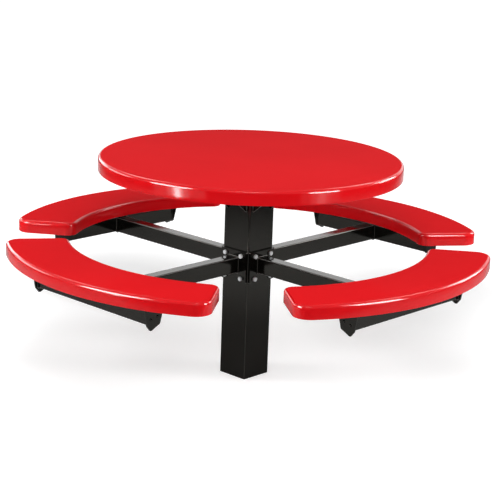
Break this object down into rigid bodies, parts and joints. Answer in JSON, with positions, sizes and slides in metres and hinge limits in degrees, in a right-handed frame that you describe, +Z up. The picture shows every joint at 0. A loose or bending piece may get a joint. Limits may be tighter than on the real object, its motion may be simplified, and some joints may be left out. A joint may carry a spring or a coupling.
{
  "type": "pedestal picnic table",
  "caption": "Round table with curved seats around it, all carried by a central square post: seat arms bolt to its faces and tapered channels hold up the top.",
  "frame": {"origin": "on the axis of the post, at the level of the post's foot", "axes": "+Z up along the post; one seat arm runs along each of +X, +Y, -X and -Y"},
  "size_m": [1.8638, 1.8638, 0.867],
  "materials": {
    "gel_coat": "high gloss red gel coat over fibreglass",
    "powder_coat": "gloss black powder coat on steel",
    "zinc": "bright zinc plate",
    "board": "plywood sealed with dark red resin"
  },
  "bodies": {
    "root": {"post": "powder_coat", "post_cap": "powder_coat", "top_arm_1": "powder_coat", "top_arm_2": "powder_coat", "top_arm_3": "powder_coat", "top_arm_4": "powder_coat", "table_top_shell": "gel_coat", "table_top_board": "board", "table_top_screws": "zinc", "seat_arm_1": "powder_coat", "seat_arm_2": "powder_coat", "seat_arm_3": "powder_coat", "seat_arm_4": "powder_coat", "arm_plate_1": "powder_coat", "arm_plate_2": "powder_coat", "arm_plate_3": "powder_coat", "arm_plate_4": "powder_coat", "arm_bolts_1": "zinc", "arm_bolts_2": "zinc", "arm_bolts_3": "zinc", "arm_bolts_4": "zinc", "arm_washers_1": "powder_coat", "arm_washers_2": "powder_coat", "arm_washers_3": "powder_coat", "arm_washers_4": "powder_coat", "arm_nuts_1": "zinc", "arm_nuts_2": "zinc", "arm_nuts_3": "zinc", "arm_nuts_4": "zinc", "seat_bar_1": "powder_coat", "seat_bar_2": "powder_coat", "seat_bar_3": "powder_coat", "seat_bar_4": "powder_coat", "seat_bracket_left_1": "powder_coat", "seat_bracket_left_2": "powder_coat", "seat_bracket_left_3": "powder_coat", "seat_bracket_left_4": "powder_coat", "seat_bracket_right_1": "powder_coat", "seat_bracket_right_2": "powder_coat", "seat_bracket_right_3": "powder_coat", "seat_bracket_right_4": "powder_coat", "seat_shell_1": "gel_coat", "seat_shell_2": "gel_coat", "seat_shell_3": "gel_coat", "seat_shell_4": "gel_coat", "seat_board_1": "board", "seat_board_2": "board", "seat_board_3": "board", "seat_board_4": "board", "seat_screws_1": "zinc", "seat_screws_2": "zinc", "seat_screws_3": "zinc", "seat_screws_4": "zinc"}
  },
  "joints": []
}
